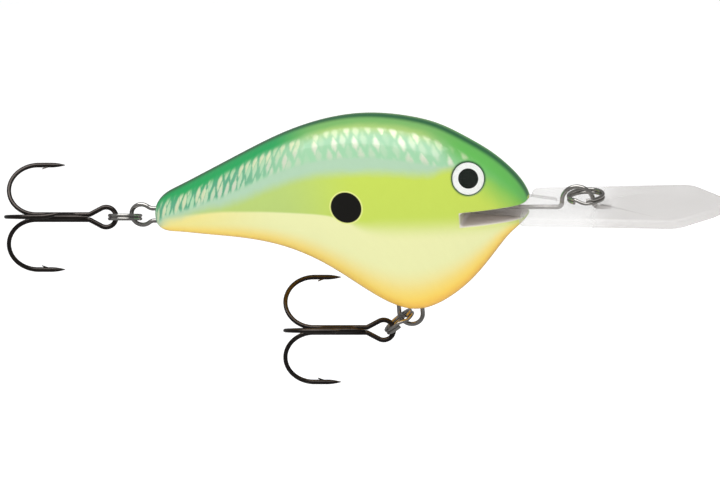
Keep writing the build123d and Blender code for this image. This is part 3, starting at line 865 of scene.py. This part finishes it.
# ------------------------------------------------------------------- split rings
def coil_tree():
    """Geometry nodes for a split ring: nearly two flat turns of round wire, with one step."""
    tree = bpy.data.node_groups.new("split ring coil", "GeometryNodeTree")
    ports = (
        ("Mean Radius", "NodeSocketFloat"),
        ("Wire Diameter", "NodeSocketFloat"),
        ("Turns", "NodeSocketFloat"),
        ("Finish", "NodeSocketMaterial"),
    )
    for name, kind in ports:
        tree.interface.new_socket(name=name, in_out="INPUT", socket_type=kind)
    tree.interface.new_socket(name="Ring", in_out="OUTPUT", socket_type="NodeSocketGeometry")

    def node(kind, inputs=(), **settings):
        made = tree.nodes.new(kind)
        for key, value in settings.items():
            setattr(made, key, value)
        for key, value in dict(inputs).items():
            if isinstance(value, bpy.types.NodeSocket):
                tree.links.new(value, made.inputs[key])
            else:
                made.inputs[key].default_value = value
        return made

    def math(operation, first, second):
        return node("ShaderNodeMath", {0: first, 1: second}, operation=operation).outputs[0]

    source = node("NodeGroupInput").outputs
    radius, wire, turns, finish = (source[name] for name, kind in ports)
    spiral = node(
        "GeometryNodeCurveSpiral",
        {
            "Resolution": 64, "Rotations": turns, "Start Radius": radius,
            "End Radius": radius, "Height": 0.0,
        },
    )
    share = node("GeometryNodeSplineParameter").outputs["Factor"]
    step = node(
        "ShaderNodeMapRange",
        {
            "Value": math("MULTIPLY", share, turns),
            "From Min": math("SUBTRACT", turns, 1.0), "From Max": 1.0,
        },
        interpolation_type="SMOOTHSTEP",
    )
    height = math("MULTIPLY", math("SUBTRACT", step.outputs[0], 0.5), wire)
    lift = node("ShaderNodeCombineXYZ", {"Z": height})
    stepped = node("GeometryNodeSetPosition", {"Geometry": spiral.outputs[0], "Offset": lift.outputs[0]})
    half_wire = math("MULTIPLY", wire, 0.5)
    profile = node("GeometryNodeCurvePrimitiveCircle", {"Resolution": 18, "Radius": half_wire})
    swept = node(
        "GeometryNodeCurveToMesh",
        {"Curve": stepped.outputs[0], "Profile Curve": profile.outputs[0], "Fill Caps": True},
    )
    smooth = node("GeometryNodeSetShadeSmooth", {"Geometry": swept.outputs[0]})
    real = node("GeometryNodeRealizeInstances", {"Geometry": smooth.outputs[0]})
    painted = node("GeometryNodeSetMaterial", {"Geometry": real.outputs[0], "Material": finish})
    node("NodeGroupOutput", {"Ring": painted.outputs[0]})
    return tree


def coil(name, tree, settings, radius, material, placing):
    """One split ring as a plain mesh in its place."""
    holder = bpy.data.objects.new(name, bpy.data.meshes.new(name))
    bpy.context.scene.collection.objects.link(holder)
    modifier = holder.modifiers.new("coil", "NODES")
    modifier.node_group = tree
    values = {
        "Mean Radius": radius,
        "Wire Diameter": settings.ring_wire,
        "Turns": settings.ring_turns,
        "Finish": material,
    }
    for item in tree.interface.items_tree:
        if item.in_out == "INPUT":
            modifier[item.identifier] = values[item.name]
    graph = bpy.context.evaluated_depsgraph_get()
    mesh = bpy.data.meshes.new_from_object(holder.evaluated_get(graph), depsgraph=graph)
    holder.modifiers.clear()
    bpy.data.objects.remove(holder)
    mesh.transform(placing)
    mesh.set_sharp_from_angle(angle=radians(50))
    return mesh


def ring_place(centre, axis, turn):
    """Matrix that lays a flat ring at a centre, facing along an axis, its gap turned."""
    face = Vector(axis).to_track_quat("Z", "X").to_matrix().to_4x4()
    return Matrix.Translation(centre) @ face @ Matrix.Rotation(turn, 4, "Z")


# ---------------------------------------------------------------------- settings
def colour_prop(name, description, default):
    """A colour that the panel shows."""
    return FloatVectorProperty(
        name=name, description=description, subtype="COLOR", size=3, min=0, max=1, default=default
    )


def length_prop(name, description, default):
    """A length in metres that the panel shows."""
    return FloatProperty(
        name=name, description=description, subtype="DISTANCE", unit="LENGTH", precision=5,
        default=default,
    )


class PaintSettings(bpy.types.PropertyGroup):
    """Colours of the lure."""

    back_line: colour_prop("Back line", "Thin dark line along the back", srgb(26, 104, 56))
    tail_back: colour_prop("Tail back", "Back behind the hump", srgb(42, 164, 92))
    hump_back: colour_prop("Hump back", "Top of the hump", srgb(124, 186, 102))
    # lime paint with a painted highlight of the overhead light on the hump
    hump_lime_highlight: colour_prop("Hump lime", "Fade under the hump's green", srgb(176, 208, 122))
    head_back: colour_prop("Head back", "Top of the head", srgb(104, 190, 90))
    scale_ground: colour_prop("Scale ground", "Mint between the scales", srgb(160, 210, 168))
    tail_gap: colour_prop("Tail scale gap", "Between the scales at the tail", srgb(92, 165, 130))
    pearl_high: colour_prop("Upper pearl", "Upper row of scales", srgb(228, 238, 196))
    pearl_low: colour_prop("Lower pearl", "Lower row of scales", srgb(224, 232, 208))
    mint_shade: colour_prop("Mint shade", "Grey-green under the scales", srgb(175, 208, 178))
    side: colour_prop("Side", "Chartreuse of the side", srgb(197, 217, 88))
    rear_side: colour_prop("Rear side", "Side towards the tail", srgb(184, 208, 116))
    flank: colour_prop("Flank", "Cream under the side", srgb(234, 235, 174))
    tail_flank: colour_prop("Tail flank", "Yellower cream at the tail", srgb(238, 226, 140))
    belly: colour_prop("Belly", "Yellow above the belly edge", srgb(248, 212, 92))
    belly_edge: colour_prop("Belly edge", "Orange along the belly", srgb(248, 186, 62))
    spot: colour_prop("Spot", "Black spot on each side", srgb(14, 12, 8))
    spot_halo: colour_prop("Spot halo", "Pale ring round the spot", srgb(226, 232, 140))
    spot_x: length_prop("Spot X", "Place of the spot along the lure", -40.9 * MM)
    spot_z: length_prop("Spot Z", "Height of the spot", 2.3 * MM)
    spot_radius: length_prop("Spot radius", "Radius of the spot", 2.88 * MM)
    slot_wall: colour_prop("Slot wall", "Sealed wood in the lip slot", srgb(226, 218, 212))
    lip: colour_prop("Lip", "Tint of the clear lip", srgb(231, 228, 226))
    # painted shade round the eye's seat
    eye_seat_painted_shade: colour_prop("Eye rim", "Shaded edge of the eye's seat", srgb(52, 96, 62))
    iris: colour_prop("Iris", "White of the eye", srgb(248, 250, 246))
    # black with a painted green reflection mixed in
    pupil: colour_prop("Pupil", "Black of the eye", srgb(2, 20, 8))
    wire: colour_prop("Bright wire", "Nickel of hangers and rings", (0.62, 0.6, 0.57))
    hook: colour_prop("Hook", "Black nickel of the hooks", (0.075, 0.065, 0.06))


class PartSettings(bpy.types.PropertyGroup):
    """Sizes of the lure's small parts."""

    skin_grain: length_prop("Skin grain", "Size of the body's faces", 0.28 * MM)
    ring_wire: length_prop("Ring wire", "Diameter of the split ring's wire", 0.62 * MM)
    ring_turns: FloatProperty(name="Ring turns", description="Turns in a split ring", default=1.88)
    wire: length_prop("Hook wire", "Diameter of the hook's wire", 0.9 * MM)
    reach: length_prop("Hook reach", "From the shank's axis to the far side", 11.55 * MM)
    point: length_prop("Hook point", "Straight run of the point", 5.0 * MM)
    cone: length_prop("Point cone", "Ground length of the point", 2.6 * MM)
    eye: length_prop("Hook eye", "Mean radius of the eye", 1.85 * MM)
    neck: length_prop("Hook neck", "Radius of the wire's turn into the eye", 0.9 * MM)
    neck_run: length_prop("Neck run", "From the shank's end to the middle of the eye", 3.3 * MM)
    third_end: length_prop("Third shank", "Where the third shank ends", 15.2 * MM)
    barb_back: length_prop("Barb place", "From the tip to the barb", 4.3 * MM)
    barb_length: length_prop("Barb length", "Length of the barb", 1.5 * MM)
    barb_height: length_prop("Barb height", "Height of the barb", 0.5 * MM)
    barb_width: length_prop("Barb width", "Width of the barb", 0.36 * MM)
    braze_start: length_prop("Braze start", "Where the brazing starts", 6.5 * MM)
    braze_end: length_prop("Braze end", "Where the brazing ends", 13.5 * MM)
    flare: length_prop("Point flare", "How far the third tail point leans up", 0.8 * MM)


class StageSettings(bpy.types.PropertyGroup):
    """Camera, floor and lights."""

    azimuth: FloatProperty(
        name="Azimuth", description="Turn of the camera round the lure", subtype="ANGLE",
        unit="ROTATION", default=radians(13),
    )
    elevation: FloatProperty(
        name="Elevation", description="Height of the camera above the horizon", subtype="ANGLE",
        unit="ROTATION", default=radians(20),
    )
    distance: length_prop("Distance", "From the camera to the lure", 0.9)
    lens: FloatProperty(name="Lens", description="Focal length in millimetres", default=244.95)
    floor_drop: length_prop("Floor height", "Height of the floor", -120 * MM)
    floor: colour_prop("Floor", "Colour of the floor", (0.97, 0.97, 0.97))


# --------------------------------------------------------------------- operators
class LURE_OT_body(bpy.types.Operator):
    """Builds the painted body"""

    bl_idname = "lure.body"
    bl_label = "Body"

    def execute(self, context):
        scene = context.scene
        mesh = body_skin(scene.lure_parts)
        place("body", mesh, lacquer(scene.lure_paint), "lure_body", "painted_balsa", HALVES)
        return {"FINISHED"}


class LURE_OT_eyes(bpy.types.Operator):
    """Builds the irises, pupils and clear domes"""

    bl_idname = "lure.eyes"
    bl_label = "Eyes"

    def execute(self, context):
        paint = context.scene.lure_paint
        white, black, clear = eye_white_finish(paint), eye_black_finish(paint), eye_clear_finish()
        for side in SIDES:
            build_eye(side, white, black, clear)
        return {"FINISHED"}


class LURE_OT_lip(bpy.types.Operator):
    """Builds the clear diving lip"""

    bl_idname = "lure.lip"
    bl_label = "Diving lip"

    def execute(self, context):
        finish = lip_finish(context.scene.lure_paint)
        polished("lip", ("diving_lip",), finish, "lure_body", "clear_lip")
        return {"FINISHED"}


class LURE_OT_wires(bpy.types.Operator):
    """Builds the line tie and both hook hangers"""

    bl_idname = "lure.wires"
    bl_label = "Wires"

    def execute(self, context):
        finish = wire_finish("bright nickel wire", context.scene.lure_paint.wire, 0.16, 0.004 * MM)
        for node in ("line_tie_wire", "tail_hanger", "belly_hanger"):
            polished(f"{node}_bright", (node,), finish, "lure_body", "bright_wire", sharp=60.0)
        return {"FINISHED"}


class LURE_OT_rings(bpy.types.Operator):
    """Coils the three split rings"""

    bl_idname = "lure.rings"
    bl_label = "Split rings"

    def execute(self, context):
        settings = context.scene.lure_parts
        finish = wire_finish("bright ring wire", context.scene.lure_paint.wire, 0.14, 0.003 * MM)
        tree = coil_tree()
        tail_axis = JOINTS["tail_hook_swing"]["axis"]
        belly_run = joint_point("belly_hook_swing") - joint_point("belly_ring_swing")
        rows = (
            ("line_tie_ring", "tie_ring", (0, 0, 1), 1.0),
            ("tail_split_ring", "tail_ring", tail_axis, 2.2),
            ("belly_split_ring", "belly_ring", belly_run.cross(Vector((0, 1, 0))), 0.6),
        )
        for node, body, axis, turn in rows:
            low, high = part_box(node)
            span = max(high - low)
            radius = (span - settings.ring_wire) / 2
            placing = ring_place(middle(node), axis, turn)
            mesh = coil(f"{node}_coil", tree, settings, radius, finish, placing)
            place(f"{node}_coil", mesh, finish, body, "bright_wire", (node,))
        return {"FINISHED"}


class LURE_OT_hooks(bpy.types.Operator):
    """Builds both treble hooks"""

    bl_idname = "lure.hooks"
    bl_label = "Treble hooks"

    def execute(self, context):
        sizes = context.scene.lure_parts
        finish = wire_finish("black nickel", context.scene.lure_paint.hook, 0.24, 0.004 * MM)
        rows = (("tail_hook", sizes.flare), ("belly_hook", 0.0))
        for name, flare in rows:
            treble(name, finish, sizes, flare)
        return {"FINISHED"}


class LURE_OT_inner(bpy.types.Operator):
    """Finishes the weight and the rattle inside the body"""

    bl_idname = "lure.inner"
    bl_label = "Weight and rattle"

    def execute(self, context):
        lead = wire_finish("cast lead", (0.18, 0.18, 0.19), 0.5, 0.03 * MM)
        brass = wire_finish("rattle brass", (0.62, 0.42, 0.16), 0.25, 0.01 * MM)
        steel = wire_finish("bearing steel", (0.56, 0.56, 0.58), 0.12, 0.002 * MM)
        rows = (
            ("weight", ("belly_weight",), lead, "lure_body", "lead"),
            ("rattle_case", ("rattle_tube",), brass, "lure_body", "rattle_brass"),
            ("rattle_end_back", ("rattle_cap_back",), brass, "lure_body", "rattle_brass"),
            ("rattle_end_front", ("rattle_cap_front",), brass, "lure_body", "rattle_brass"),
            ("ball", ("rattle_ball",), steel, "rattle", "steel_ball"),
        )
        for name, nodes, finish, body, slot in rows:
            polished(name, nodes, finish, body, slot)
        return {"FINISHED"}


class LURE_OT_stage(bpy.types.Operator):
    """Sets up the floor, lights and camera"""

    bl_idname = "lure.stage"
    bl_label = "Stage"

    def execute(self, context):
        stage = context.scene.lure_stage
        build_floor(stage)
        build_lights(context.scene)
        build_camera(context.scene, stage)
        return {"FINISHED"}


VIEW_MIDDLE = Vector((-41.1, 0, -9.45)) * MM
LAMP_TARGET = Vector((-35, 0, 0)) * MM
FLOOR_FRONT, FLOOR_BACK, FLOOR_SIDE = -2.4, 2.2, 3.0
SWEEP_RADIUS, WALL_HEIGHT = 0.4, 2.6


def build_floor(stage):
    """Pale sweep: a flat floor that curves up behind the lure."""
    profile = [(FLOOR_FRONT, 0.0), (FLOOR_BACK, 0.0)]
    for step in range(1, 13):
        angle = pi / 2 * step / 12
        profile.append(
            (FLOOR_BACK + SWEEP_RADIUS * sin(angle), SWEEP_RADIUS * (1 - cos(angle)))
        )
    profile.append((FLOOR_BACK + SWEEP_RADIUS, WALL_HEIGHT))
    points, faces = [], []
    for y, z in profile:
        height = stage.floor_drop + z
        points += [(-FLOOR_SIDE, y, height), (FLOOR_SIDE, y, height)]
    for row in range(len(profile) - 1):
        first = 2 * row
        faces.append((first, first + 1, first + 3, first + 2))
    mesh = bpy.data.meshes.new("studio floor")
    mesh.from_pydata(points, [], faces)
    mesh.shade_smooth()
    finish = Finish("floor paper")
    tooth = finish.noise(60.0, 3.0)
    dark = tuple(0.985 * part for part in stage.floor)
    finish.set(
        Base_Color=finish.mix(tooth, stage.floor, dark),
        Roughness=0.9,
        Emission_Color=(1.0, 1.0, 1.0),
        Emission_Strength=0.3,
    )
    mesh.materials.append(finish.material)
    floor = bpy.data.objects.new("studio_floor", mesh)
    bpy.context.scene.collection.objects.link(floor)
    floor.visible_glossy = False


def aim(thing, target):
    """Turns a light or camera towards a point."""
    thing.rotation_euler = (target - thing.location).to_track_quat("-Z", "Y").to_euler()


def build_lights(scene):
    """Large key above, a softbox beyond each end, a rim behind and an even pale surround."""
    rows = (
        ("key_softbox", (-0.1, -0.25, 0.8), (1.0, 0.6), 5.4),
        ("tail_side_softbox", (-0.9, -0.55, 0.25), (0.5, 0.8), 3.0),
        ("nose_side_softbox", (0.8, -0.6, 0.25), (0.5, 0.8), 3.0),
        ("back_rim", (-0.2, 0.6, 0.6), (1.0, 0.3), 1.2),
    )
    for name, spot, size, power in rows:
        light = bpy.data.lights.new(name, "AREA")
        light.shape = "RECTANGLE"
        light.size, light.size_y = size
        light.energy = power
        lamp = bpy.data.objects.new(name, light)
        lamp.location = spot
        aim(lamp, LAMP_TARGET)
        lamp.visible_glossy = name == "key_softbox"
        scene.collection.objects.link(lamp)
    world = bpy.data.worlds.new("studio surround")
    world.use_nodes = True
    shade = world.node_tree.nodes["Background"]
    shade.inputs["Color"].default_value = (1.0, 1.0, 1.0, 1.0)
    shade.inputs["Strength"].default_value = 0.22
    scene.world = world
    scene.view_settings.view_transform = "Standard"


def build_camera(scene, stage):
    """Long lens, a little above and ahead of the lure's right side."""
    a, e = stage.azimuth, stage.elevation
    roll = atan2(tan(a) * sin(e), 1)
    right = Vector((cos(a), sin(a), 0))
    up = Vector((-sin(a) * sin(e), cos(a) * sin(e), cos(e)))
    back = Vector((sin(a) * cos(e), -cos(a) * cos(e), sin(e)))
    level, tall = cos(roll) * right - sin(roll) * up, sin(roll) * right + cos(roll) * up
    target = VIEW_MIDDLE
    data = bpy.data.cameras.new("studio camera")
    data.lens = stage.lens
    camera = bpy.data.objects.new("studio_camera", data)
    scene.collection.objects.link(camera)
    turned = Matrix((level, tall, back)).transposed().to_4x4()
    camera.matrix_world = Matrix.Translation(target + back * stage.distance) @ turned
    scene.camera = camera


# --------------------------------------------------------------- panel and main
OPERATORS = (
    LURE_OT_body,
    LURE_OT_eyes,
    LURE_OT_lip,
    LURE_OT_wires,
    LURE_OT_rings,
    LURE_OT_hooks,
    LURE_OT_inner,
    LURE_OT_stage,
)


class LURE_PT_panel(bpy.types.Panel):
    """Sizes, colours and builders of the lure"""

    bl_idname = "LURE_PT_panel"
    bl_label = "Crankbait"
    bl_space_type = "VIEW_3D"
    bl_region_type = "UI"
    bl_category = "Lure"

    def draw(self, context):
        scene = context.scene
        for group in (scene.lure_paint, scene.lure_parts, scene.lure_stage):
            box = self.layout.box()
            for name in group.__annotations__:
                box.prop(group, name)
        for operator in OPERATORS:
            self.layout.operator(operator.bl_idname)


CLASSES = (PaintSettings, PartSettings, StageSettings, *OPERATORS, LURE_PT_panel)


def register():
    """Registers the classes and hangs the settings on the scene."""
    for kind in CLASSES:
        bpy.utils.register_class(kind)
    bpy.types.Scene.lure_paint = PointerProperty(type=PaintSettings)
    bpy.types.Scene.lure_parts = PointerProperty(type=PartSettings)
    bpy.types.Scene.lure_stage = PointerProperty(type=StageSettings)


def unregister():
    """Takes the settings and classes away again."""
    del bpy.types.Scene.lure_paint
    del bpy.types.Scene.lure_parts
    del bpy.types.Scene.lure_stage
    for kind in reversed(CLASSES):
        bpy.utils.unregister_class(kind)


def main():
    """Builds everything."""
    register()
    bpy.ops.lure.body()
    bpy.ops.lure.eyes()
    bpy.ops.lure.lip()
    bpy.ops.lure.wires()
    bpy.ops.lure.rings()
    bpy.ops.lure.hooks()
    bpy.ops.lure.inner()
    bpy.ops.lure.stage()


if __name__ == "__main__":
    main()
